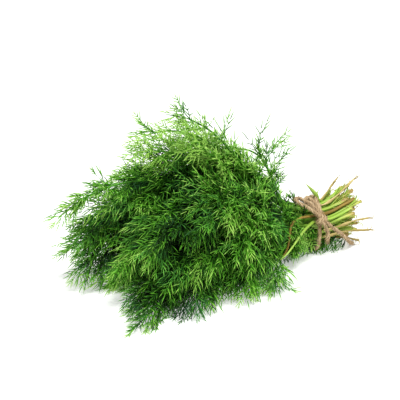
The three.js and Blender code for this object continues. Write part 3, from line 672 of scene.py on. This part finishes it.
def ribs_of(n, line, tied):
    """Where the ribs of leafy stem n leave it and how, a row for each: base, way, side, length and lean.

    With them comes each rib's share of painted light and shade: painted light outside, on top and in a light
    patch, and painted shade inside, between two pairs of the solids' ribs and in a dark patch.
    """
    spot = spots_along(line)
    length = distances_of(line)[-1] - tied
    leafy = min(FROND_LENGTH, length * FROND_SHARE)
    below = len(LOW_LEAF_PLACES) if n in LOW_LEAF_STEMS else 0
    rows, light = [], []
    for j in np.arange(0, RIB_PAIRS, RIB_STEP):
        up = j / RIB_PAIRS
        base, way, normal, other = spot(tied + length - leafy * (1 - up) ** RIB_PLACING)
        crown = smooth(CROWN_FROM, CROWN_TO, base[2])
        neck_to = NECK_STRETCH[1] + SHOULDER_WIDENING * max(0, base[2] - SHOULDER_HEIGHT)
        near_tie = NECK_RIB + (1 - NECK_RIB) * smooth(NECK_STRETCH[0], neck_to, -base[0])
        between = j % 1 > 0.1
        if between and chance(n, j, 5) < CROWN_THINNER * crown:
            continue
        painted_patch = 0
        for middle, change in SHADE_AND_LIGHT_PATCHES:
            painted_patch += change * (1 - smooth(*PATCH_STRETCH, np.linalg.norm(base - middle)))
        for k in (0, 1):
            keys = (n, j + below, k)
            size = RIB_LENGTH * (leafy / FULL_FROND) ** FROND_SCALING
            size *= 1 - RIB_SHORTENING * up**SHORTENING_POWER
            size *= (1 + RIB_UNEVEN * jitter(*keys, 2)) * near_tie * SLIM_FRONDS.get(n, 1)
            size *= BETWEEN_RIB if between else 1
            if size < SHORTEST_RIB:
                continue
            lean = math.radians(RIB_LEAN - RIB_LEAN_LOSS * up + LEAN_UNEVEN * jitter(*keys, 3))
            side = rib_side(*keys, normal, other)
            rows.append((base, way, side, size, lean))
            # Painted light and shade: a rib is lighter outside, facing out and on top, and darker inside and
            # between pairs.
            facing = 0.5 + 0.5 * side @ unit(base - lay_down(base[0], 0, 0))
            outer = (1 - FACING_OUT) * (1 - (1 - up) * (1 - n / LEAFY_STEMS)) + FACING_OUT * facing
            shade = BETWEEN_PAINTED_SHADE * (1 - up) if between else 0
            light.append(INSIDE_PAINTED_SHADE * (outer - 0.5) + CROWN_PAINTED_LIGHT * crown + painted_patch - shade)
    ways, across, _ = frames_of(line)
    rows.append((line[-1] - END_SPRAY_BACK * ways[-1], ways[-1], across[-1], END_SPRAY_LENGTH, END_LEAN))
    return rows, np.array([*light, light[-1]])


def undergrowth_of(n, line, tied, dice):
    """Short ribs on the bare lower and rear sides of the neck, and a few on top of it, in front."""
    spot, length = spots_along(line), distances_of(line)[-1]
    bare_to = length - min(FROND_LENGTH, (length - tied) * FROND_SHARE)
    rows = []
    for at in np.arange(tied + UNDER_FROM, bare_to + UNDER_PAST, UNDER_SPACING):
        at += dice.uniform(*UNDER_UNEVEN)
        base, way, *_ = spot(at)
        out = unit(base - lay_down(base[0], 0, 0))
        past_tie = at - tied
        on_top = out[2] > (TOP_NECK if past_tie > CUT_TO else TOP_CUT)
        in_front = n >= TOP_STEMS_FROM and out @ FRONT >= TOP_FACING
        in_front = in_front and TOP_STRETCH[0] < past_tie < TOP_STRETCH[1]
        if on_top and not in_front or dice.uniform() < UNDER_MISSING:
            continue
        if n in LOW_LEAF_STEMS and abs(past_tie - np.mean(LOW_LEAF_PLACES)) < LOW_LEAF_ROOM:
            continue
        side = unit(out + 0.5 * dice.uniform(-1, 1, 3))
        side = unit(side - way * (side @ way))
        size = dice.uniform(*UNDER_LENGTH)
        size += 0 if on_top else UNDER_LONGER * smooth(*LONGER_STRETCH, -base[0])
        rows.append((base, way, side, size, math.radians(dice.uniform(*SHORT_RIB_LEAN))))
    return rows


def filling_of(n, line, tied, dice):
    """Short ribs all along the leafy part of an inner stem."""
    if n >= FILLING_STEMS or n in SLIM_FRONDS:
        return []
    spot, length = spots_along(line), distances_of(line)[-1]
    rows = []
    for at in np.arange(length - FROND_LENGTH, length - FILLING_STOPS, FILLING_SPACING):
        base, way, *_ = spot(at)
        side = any_side(way, dice)
        size = dice.uniform(*FILLING_LENGTH)
        rows.append((base, way, side, size, math.radians(dice.uniform(*SHORT_RIB_LEAN))))
    return rows


def low_leaves_of(n, line, tied, dice):
    """The small young leaves low on some outer stems."""
    if n not in LOW_LEAF_STEMS:
        return []
    spot = spots_along(line)
    rows = []
    for number, place in enumerate(LOW_LEAF_PLACES):
        base, way, normal, other = spot(tied + place)
        for k in (0, 1):
            size = LOW_LEAF_LENGTH * dice.uniform(*LOW_LEAF_UNEVEN)
            rows.append((base, way, rib_side(n, number, k, normal, other), size, LOW_LEAF_LEAN))
    return rows


def outlying_of(n, leafy):
    """The lines of the single sprays of leafy stem n, each bowed from the stem's direction to its tip."""
    lines = []
    t = np.linspace(0, 1, 7)[:, None]
    for share, tip in OUTLYING_SPRAYS[n]:
        k = round(share * (len(leafy) - 1))
        reach = np.linalg.norm(leafy[k] - tip)
        knee = leafy[k] + SPRAY_BOW * reach * unit(leafy[k] - leafy[k - 1])
        lines.append((1 - t) ** 2 * leafy[k] + 2 * t * (1 - t) * knee + t**2 * np.array(tip))
    return np.array(lines)


def curled(base, way, length, bend, dice):
    """A line that sets off along way and turns to one side, ever more tightly, by bend in all."""
    axis = any_side(way, dice)
    line = [base]
    for k in range(CURL_STEPS):
        way = unit(way + 2 * bend * k / CURL_STEPS**2 * np.cross(axis, way))
        line.append(line[-1] + way * length / CURL_STEPS)
    return np.array(line)


def split_strip(cut, dice):
    """A strip of skin or sheath that has split off near a stalk's cut end and curls as it dries."""
    start = dice.integers(3, 9)
    way = -frames_of(cut)[0][start]
    side = any_side(way, dice) + 0.5 * UP
    length = distances_of(cut)[start] * dice.uniform(*STRIP_REACH)
    way = unit(way + dice.uniform(*STRIP_LEAVES) * side)
    line = curled(cut[start], way, length, dice.uniform(*STRIP_BEND), dice)
    share = np.linspace(0, 1, len(line))
    radii = dice.uniform(*STRIP_WIDTH) * np.interp(share, *STRIP_PROFILE)
    along = np.interp(share, *STRIP_DRYING) * dice.uniform(*STRIP_DRYNESS)
    skin = {"turns": share * dice.uniform(*STRIP_TWIST), "skin": STALK, "tone": dice.uniform()}
    return swept(line, radii[:-1], sides=6, flatness=0.3, along=along, **skin)


def thread_off(kind, line, dice, dryness=None, **skin):
    """A thread that curls off near the start of a line."""
    start = dice.integers(0, kind["rings"])
    way = unit(-frames_of(line)[0][start] + dice.uniform(-0.5, 0.5, 3) + kind["rise"] * UP)
    thread = curled(line[start], way, dice.uniform(*kind["length"]), dice.uniform(*kind["bend"]), dice)
    radii = dice.uniform(*kind["width"]) * np.linspace(1, SHRED_POINT, CURL_STEPS)
    if dryness:
        skin["along"] = np.linspace(*SHRED_DRYING, CURL_STEPS + 1) * dice.uniform(*dryness)
    return swept(thread, radii, sides=5, flatness=0.6, tone=dice.uniform(*kind["tone"]), **skin)


def sheath_parts(line):
    """The pale sheath that one stem raises beside the tie: a folded blade and its short second point."""
    k = np.argmin(np.abs(distances_of(line) - SHEATH_PLACE))
    parts = []
    for points, width in ((SHEATH_LINE, SHEATH_WIDTH), ([*SHEATH_LINE[:2], SHEATH_POINT], POINT_WIDTH)):
        blade = curve_through([line[k], *points], 1.2)
        share = np.linspace(0, 1, len(blade))
        radii = width * np.interp(share, *SHEATH_PROFILE)
        along = np.interp(share, *SHEATH_DRYING)
        parts.append(swept(blade, radii[:-1], sides=10, flatness=0.35, skin=STALK, tone=0.0, along=along))
    return parts


def hides_bent_stalk(spots):
    """Whether any of some spots hangs in front of a bent stalk, seen from the side where these lie."""
    for points in BENT_STALKS.values():
        apart = np.asarray(spots)[:, None] - curve_through(points, 3.0)
        ahead = apart @ FRONT
        aside = np.linalg.norm(apart - ahead[..., None] * FRONT, axis=2)
        if np.any((aside < BENT_CLEARANCE) & (ahead > 0)):
            return True
    return False


def sprays_from(rows, tones, dice):
    base, way, side, length, lean = (np.array(column, float) for column in zip(*rows))
    lines = shoots(base, way, side, length, lean, RIB_DROOP, 5)
    clear = np.array([not hides_bent_stalk(line[1:]) for line in lines])
    return sprays(lines[clear], length[clear], np.asarray(tones)[clear], dice) if clear.any() else []


def stem_parts(n):
    dice = np.random.default_rng(n)
    cut = cut_line(n, CUT_RINGS)
    leafy = leafy_line(n)
    tied = distances_of(np.concatenate([cut, leafy[:1]]))[-1]
    line = np.concatenate([cut, leafy])
    places = distances_of(line)
    thickness = STALK_RADIUS * (1 + STALK_UNEVEN * jitter(n, 8))
    radii = thickness * (1 - STEM_TAPER * np.clip((places - tied) / (places[-1] - tied), 0, 1))
    radii *= 1 + STALK_WAVES * np.sin(places / STALK_WAVE_LENGTH + 6 * chance(n, 9))
    green = {"along": np.clip(places / GREEN_FROM, 0, 1), "tone": chance(n, 32)}
    parts = [swept(line, radii[:-1], STALK_SIDES, hollow=STALK_HOLLOW, skin=STALK, **green)]
    rows, light = ribs_of(n, line, tied)
    # light holds each rib's painted light and painted shade.
    tones = LEAF_TONE + STEM_TONE * jitter(n, 31) + light + dice.uniform(*RIB_TONE, len(rows))
    parts += sprays_from(rows, tones, dice)
    if n in OUTLYING_SPRAYS:
        lines = outlying_of(n, leafy)
        lengths = np.array([distances_of(one)[-1] for one in lines])
        parts += sprays(lines, lengths, np.full(len(lines), OUTLYING_TONE), dice)
    if n == SHEATH_STEM:
        parts += sheath_parts(line)
    parts += [split_strip(cut, dice) for _ in range(SPLIT_STRIPS)]
    parts += [thread_off(SHRED, cut, dice, SHRED_DRYNESS, skin=STALK) for _ in range(SHREDS)]
    kinds = ((undergrowth_of, UNDER_TONE), (filling_of, FILLING_SHADE_TONE), (low_leaves_of, LOW_LEAF_TONE))
    for short_ribs, tones in kinds:
        rows = short_ribs(n, line, tied, dice)
        if rows:
            parts += sprays_from(rows, dice.uniform(*tones, len(rows)), dice)
    return parts


def add_leafy_stems(leaf, stalk):
    for n in range(LEAFY_STEMS):
        number = f"{n + 1:02d}"
        add_piece(f"frond_{number}", stem_parts(n), [leaf, stalk], [f"leafy_stem_{number}"])


# ---- Dry and bent stalks ----


def dry_line(n):
    """A dry stalk, from its curled end among the cut ends to a little way into the neck."""
    r = neck_radius(n)
    length = CUT_LENGTH * (1 + DRY_UNEVEN * jitter(n, 4))
    corners = []
    for k, s in enumerate(DRY_SHARES):
        wide = r * (1 + DRY_FLARE * max(s, 0) ** 2 + (DRY_STRAYS * jitter(n, k) if s > 0.5 else 0))
        angle = n * GOLDEN_ANGLE + DRY_TURN * jitter(n, 6) * s * s
        corners.append(lay_down(length * s, wide * math.cos(angle), wide * math.sin(angle)))
    return curve_through(corners, 1.2)


def add_dry_stalks(straw):
    """The shrivelled stalks: flat, twisted and wavy, with tendrils curling off their ends."""
    for k, n in enumerate(DRY_PLACES):
        dice = np.random.default_rng(200 + n)
        line = dry_line(n)
        share = np.linspace(0, 1, len(line))
        waves = DRY_WAVES * np.sin(share * DRY_WAVE_TURN + 6 * dice.uniform())
        radii = np.interp(share, *DRY_PROFILE) * (1 + waves + dice.uniform(-DRY_ROUGH, DRY_ROUGH, len(line)))
        turns = share * DRY_TWIST * dice.uniform(*TWIST_UNEVEN)
        flat = {"flatness": 0.55, "hollow": 0.6, "turns": turns}
        parts = [swept(line, radii[:-1], sides=9, tone=dice.uniform(0.2, 0.9), **flat)]
        parts += [thread_off(TENDRIL, line, dice) for _ in range(TENDRILS)]
        add_piece(f"straw_{k + 1}", parts, [straw], [f"dry_stalk_{k + 1}"])


def add_bent_stalk(n, name, skin, node):
    """A loose stalk that leaves the tie low down and curves to the surface."""
    tied = lay_down(0, *(neck_radius(n) * f(n * GOLDEN_ANGLE) for f in (math.cos, math.sin)))
    line = curve_through([*cut_line(n, BENT_RINGS), tied, *BENT_STALKS[n]], 1.5)
    share = np.linspace(0, 1, len(line))
    radii = STALK_RADIUS * np.interp(share, *BENT_PROFILE)
    along = np.interp(share, *BENT_DRYING)
    parts = [swept(line, radii[:-1], STALK_SIDES, hollow=STALK_HOLLOW, tone=0.5, along=along)]
    add_piece(name, parts, [skin], [node])


# ---- Twine ----


def strands(line, loosen=0.0):
    """Three strands twisted round a line. Loosen is how far, in radii, they part towards its end."""
    _, across, third = frames_of(line)
    places = distances_of(line)
    apart = STRAND_APART * (1 + loosen * (places / places[-1]) ** 4)
    sizes = np.full(len(line) - 1, STRAND_RADIUS)
    sizes[-1] *= 0.7
    parts = []
    for k in range(3):
        angle = 2 * math.pi * (k / 3 + places / TWINE_PITCH)
        strand = line + apart[:, None] * turned(across, third, angle)
        parts.append(swept(strand, sizes, sides=8, tone=0.35 + 0.2 * k))
    return parts


def hairs(kind, base, way, side, size, dice):
    """Fine hairs of jute, which lean from their way towards their side."""
    lines = shoots(base, way, side, size, dice.uniform(*kind["lean"], len(base)), HAIR_DROOP, 3)
    tone = dice.uniform(*kind["tone"], len(base))
    return limbs(lines, kind["radius"], taper=kind["taper"], sides=3, tone=tone, along=HAIR_ALONG)


def fibres(line, count, dice):
    """The hairs that stand out all along a twine."""
    ways, across, third = frames_of(line)
    at = dice.integers(0, len(line) - 1, count)
    angle = dice.uniform(0, 2 * np.pi, count)
    out = turned(across[at], third[at], angle)
    round_it = turned(third[at], -across[at], angle)
    base = line[at] + HAIR_ROOT * out + dice.uniform(-0.4, 0.4, (count, 1)) * ways[at]
    way = unit(ways[at] * dice.choice([-1, 1], (count, 1)) + 0.5 * round_it)
    return hairs(LOOSE, base, way, out, dice.uniform(*HAIR_LENGTH, count), dice)


def frayed(line, count, reach, dice):
    """The hairs of a cut end of twine, which reach this far past it."""
    ways = np.broadcast_to(unit(line[-1] - line[-4]), (count, 3))
    base = line[-4] + dice.uniform(-0.9, 0.9, (count, 3))
    side = sides_of(ways, dice.uniform(0, 2 * np.pi, count))
    return hairs(FRAYED, base, ways, side, dice.uniform(0.5, 1, count) * reach, dice)


def round_neck(radius, angle, shift=0):
    """Points at a radius round the neck, on the slanted plane of the turn of twine."""
    y = radius * np.cos(angle)
    return np.stack([WRAP_AT + WRAP_SLANT * y + shift, y, TIE_HEIGHT + radius * np.sin(angle)], axis=-1)


KNOT_CENTRE = round_neck(WRAP_RADIUS + 0.8 * KNOT_RADIUS, KNOT_ANGLE)


def wrap_line():
    turns = np.linspace(0, WRAP_TURNS, 33)
    return round_neck(WRAP_RADIUS, KNOT_ANGLE + turns * 2 * math.pi, WRAP_PITCH * (turns - WRAP_TURNS / 2))


def knot_line():
    """The turns that the twine takes round itself at the knot."""
    outward = unit(np.array([0, math.cos(KNOT_ANGLE), math.sin(KNOT_ANGLE)]))
    axis = unit(np.array(KNOT_AXIS))
    axis = unit(axis - outward * (axis @ outward))
    other = np.cross(axis, outward)
    turns = np.linspace(0, KNOT_TURNS, 40)
    angle = 2 * math.pi * turns
    wide = turned(KNOT_DEEP * outward, KNOT_WIDE * other, angle)
    return KNOT_CENTRE + wide + (turns[:, None] - KNOT_TURNS / 2) * KNOT_PITCH * axis


def add_twine(jute):
    dice = np.random.default_rng(900)
    knot = KNOT_CENTRE
    routes = [wrap_line(), *([knot, *loop, knot] for loop in BOW_LOOPS), [knot, *LONG_END_STUB], knot_line()]
    parts = []
    for route in routes:
        line = curve_through(route, 0.9)
        parts += strands(line)
        parts.append(fibres(line, int(HAIRS_PER_MM * distances_of(line)[-1]), dice))
    line = curve_through([knot, *SHORT_END], 0.8)
    parts += [*strands(line, loosen=0.9), fibres(line, 90, dice), frayed(line, 60, 4.5, dice)]
    add_piece("twine", parts, [jute], ["twine_wrap"])


def add_twine_end(jute):
    """The long loose end of the bow, a limp cord that lies down beside the cut ends."""
    dice = np.random.default_rng(901)
    line = curve_through(LONG_END, 0.8)
    parts = strands(line, loosen=0.5) + [fibres(line, 150, dice)]
    end = add_piece("twine_end_long", parts, [jute], ["twine_end"])
    tuft = add_piece("twine_end_tuft", [frayed(line, 90, 6.0, dice)], [jute], [])


# ---- Finishes ----
# A grain's streaks: how many noise cells there are to a millimetre, along the grain and twice across it.

STALK_STREAKS = (0.03, 1.6, 1.6)  # ribs of 0.6 mm, 30 mm long
JUTE_STREAKS = (0.25, 2.5, 2.5)  # fibres of 0.4 mm, coarser than real ones so that they show
STRAW_STREAKS = (0.06, 1.5, 1.5)  # wrinkles of 0.7 mm, 17 mm long


def linear(colour):
    """A colour #rrggbb as linear red, green, blue and alpha."""
    parts = [int(colour[k : k + 2], 16) / 255 for k in (1, 3, 5)]
    return (*(c / 12.92 if c <= 0.04045 else ((c + 0.055) / 1.055) ** 2.4 for c in parts), 1.0)


def add_node(tree, kind, output, inputs=None, stops=(), **settings):
    """Adds a node and gives one of its outputs. Inputs are numbers, colours or outputs, by socket."""
    node = tree.nodes.new("ShaderNode" + kind)
    for name, value in settings.items():
        setattr(node, name, value)
    for name, value in (inputs or {}).items():
        if isinstance(value, bpy.types.NodeSocket):
            tree.links.new(value, node.inputs[name])
        else:
            node.inputs[name].default_value = linear(value) if isinstance(value, str) else value
    if stops:
        elements = node.color_ramp.elements
        elements.remove(elements[1])
        for k, (place, colour) in enumerate(stops):
            element = elements[0] if k == 0 else elements.new(place)
            element.position, element.color = place, linear(colour)
    return node.outputs[output]


def new_finish(name, **values):
    """A material whose shader has these values at its sockets, and its node tree and shader."""
    material = bpy.data.materials.new(name)
    material.use_nodes = True
    shader = material.node_tree.nodes["Principled BSDF"]
    for socket, value in values.items():
        shader.inputs[socket].default_value = value
    return material, material.node_tree, shader


def streaks_along(tree, shader, stretch, detail, strength, depth):
    """The value of streaks that run with the grain. Their ridges stand up on the shader, by depth."""
    grain = add_node(tree, "Attribute", "Vector", attribute_name="grain")
    drawn_out = add_node(tree, "Mapping", 0, {"Vector": grain, "Scale": stretch})
    streaks = add_node(tree, "TexNoise", "Fac", {"Vector": drawn_out, "Scale": 1.0, "Detail": detail})
    bump = add_node(tree, "Bump", 0, {"Height": streaks, "Strength": strength, "Distance": depth})
    tree.links.new(bump, shader.inputs["Normal"])
    return streaks


def dill_leaf():
    """Living dill leaf: threads with a thin waxy bloom, so it is soft green with a broken sheen.

    Sprays differ in age, painted shade and painted light, from blue-green to yellow-green; young needle ends
    are lighter.
    """
    material, tree, shader = new_finish("dill_leaf_waxy", Roughness=0.5, IOR=1.42)
    tone, along = (add_node(tree, "Attribute", "Fac", attribute_name=key) for key in ("tone", "along"))
    place = add_node(tree, "TexCoord", "Object")
    ages = {"Vector": place, "Scale": 40.0, "Detail": 2.0}  # sprays of one age are about 25 mm wide
    patches = add_node(tree, "TexNoise", "Fac", ages)
    # Patches shift the tone by up to 0.35 either way, and a needle's tip is 0.35 lighter than its foot.
    age = add_node(tree, "Math", 0, {0: patches, 1: 0.7, 2: tone}, operation="MULTIPLY_ADD")
    age = add_node(tree, "Math", 0, {0: age, 1: 0.35}, operation="SUBTRACT")
    age = add_node(tree, "Math", 0, {0: along, 1: 0.5, 2: age}, operation="MULTIPLY_ADD")
    stops = [(0.0, "#0b2706"), (0.3, "#346c1a"), (0.6, "#64aa2e"), (0.85, "#90cb50"), (1.0, "#b4e070")]
    green = add_node(tree, "ValToRGB", "Color", {0: age}, stops)
    blooms = {"Vector": place, "Scale": 55.0, "Detail": 1.0}  # these are about 18 mm wide
    wax = add_node(tree, "TexNoise", "Fac", blooms)
    bloom = add_node(tree, "MapRange", 0, {0: wax, 1: 0.52, 2: 0.66, 3: 0.0, 4: 0.25})  # a quarter at most
    bluish = add_node(tree, "Mix", 2, {0: bloom, 6: green, 7: "#55a06a"}, data_type="RGBA", blend_type="MIX")
    tree.links.new(bluish, shader.inputs["Base Color"])
    return material


def dill_stalk():
    """Living dill stalk: smooth and finely ribbed, so it shows light streaks; it dries from its cut end."""
    material, tree, shader = new_finish("dill_stalk_ribbed", Roughness=0.38, IOR=1.45)
    tone, along = (add_node(tree, "Attribute", "Fac", attribute_name=key) for key in ("tone", "along"))
    ribs = streaks_along(tree, shader, STALK_STREAKS, detail=3.0, strength=0.5, depth=0.3 * MM)
    dried = add_node(tree, "Math", 0, {0: tone, 1: -0.12, 2: along}, operation="MULTIPLY_ADD")
    dried = add_node(tree, "Math", 0, {0: dried, 1: 0.06}, operation="ADD")
    stops = [(0.0, "#b49c60"), (0.04, "#c4c26a"), (0.1, "#acc85a")]  # dried, then pale and fresh
    stops += [(0.3, "#9cc24e"), (0.55, "#72ad36"), (1.0, "#4f8d2c")]
    green = add_node(tree, "ValToRGB", "Color", {0: dried}, stops)
    light = add_node(tree, "MapRange", 0, {0: ribs, 1: 0.35, 2: 0.7, 3: 0.7, 4: 1.25})
    streaked = {0: 1.0, 6: green, 7: light}
    colour = add_node(tree, "Mix", 2, streaked, data_type="RGBA", blend_type="MULTIPLY")
    tree.links.new(colour, shader.inputs["Base Color"])
    return material


def plant_fibre(name, stops, stretch, roughness, depth):
    """Dead plant fibre, dry and matt: streaks run with its grain and change its colour between stops."""
    material, tree, shader = new_finish(name, Roughness=roughness, IOR=1.45)
    tone = add_node(tree, "Attribute", "Fac", attribute_name="tone")
    streaks = streaks_along(tree, shader, stretch, detail=4.0, strength=0.6, depth=depth)
    value = add_node(tree, "Math", 0, {0: tone, 1: 0.35, 2: streaks}, operation="MULTIPLY_ADD")
    value = add_node(tree, "Math", 0, {0: value, 1: 0.18}, operation="SUBTRACT")
    colour = add_node(tree, "ValToRGB", "Color", {0: value}, stops)
    tree.links.new(colour, shader.inputs["Base Color"])
    return material


# ---- Floor and light ----

FLOOR_REACH = 30  # metres, so that its edge is never in view
GLOW = 0.35  # the light that comes through the floor from below
ROOM_LIGHT = 0.45
SOFTBOX_PLACE, SOFTBOX_SIZE, SOFTBOX_WATTS = (-0.4, -1.3, 3.4), (1.8, 1.4), 125


def add_floor():
    """A sheet of opal acrylic, matt and lit a little from below, so that shadows on it stay light."""
    material, _, shader = new_finish("opal_acrylic_matt", Roughness=0.9, IOR=1.49)
    shader.inputs["Base Color"].default_value = linear("#d9dad8")
    shader.inputs["Specular IOR Level"].default_value = 0.0
    shader.inputs["Emission Color"].default_value = linear("#ffffff")
    shader.inputs["Emission Strength"].default_value = GLOW
    mesh = bpy.data.meshes.new("floor")
    corners = [(x * FLOOR_REACH, y * FLOOR_REACH, 0) for x, y in ((-1, -1), (1, -1), (1, 1), (-1, 1))]
    mesh.from_pydata(corners, [], [(0, 1, 2, 3)])
    mesh.materials.append(material)
    floor = placed("floor", mesh)


def add_light():
    world = bpy.data.worlds.new("white_room")
    bpy.context.scene.world = world
    world.use_nodes = True
    background = world.node_tree.nodes["Background"]
    background.inputs["Color"].default_value = linear("#ffffff")
    background.inputs["Strength"].default_value = ROOM_LIGHT
    data = bpy.data.lights.new("softbox", "AREA")
    data.shape, data.energy = "RECTANGLE", SOFTBOX_WATTS
    data.size, data.size_y = SOFTBOX_SIZE
    softbox = placed("softbox", data)
    softbox.location = SOFTBOX_PLACE
    aim = -np.array(softbox.location)
    softbox.rotation_euler = (math.atan2(math.hypot(aim[0], aim[1]), -aim[2]), 0, math.atan2(-aim[0], aim[1]))
    bpy.context.scene.view_settings.view_transform = "Standard"
    bpy.context.scene.view_settings.look = "Medium High Contrast"


add_camera()
jute_colours = [(0.15, "#66543f"), (0.4, "#a68d6e"), (0.65, "#cab391"), (0.9, "#e6d6bb")]
straw_colours = [(0.2, "#7d6c44"), (0.45, "#b3a068"), (0.7, "#d3c48a"), (0.95, "#e6dcb4")]
wilted_colours = [(0.2, "#67521f"), (0.5, "#92783a"), (0.8, "#b59f4e")]
jute = plant_fibre("jute_twisted", jute_colours, JUTE_STREAKS, roughness=0.95, depth=0.4 * MM)
straw = plant_fibre("dill_stalk_dried", straw_colours, STRAW_STREAKS, roughness=0.8, depth=0.5 * MM)
wilted = plant_fibre("dill_stalk_wilted", wilted_colours, STRAW_STREAKS, roughness=0.6, depth=0.3 * MM)
add_twine_end(jute)
add_twine(jute)
leaf, stalk = dill_leaf(), dill_stalk()
add_leafy_stems(leaf, stalk)
add_dry_stalks(straw)
add_bent_stalk(BROWN_PLACE, "wilted_stalk", wilted, "bent_stalk_brown")
add_bent_stalk(GREEN_PLACE, "fresh_bent_stalk", stalk, "bent_stalk_green")
add_floor()
add_light()
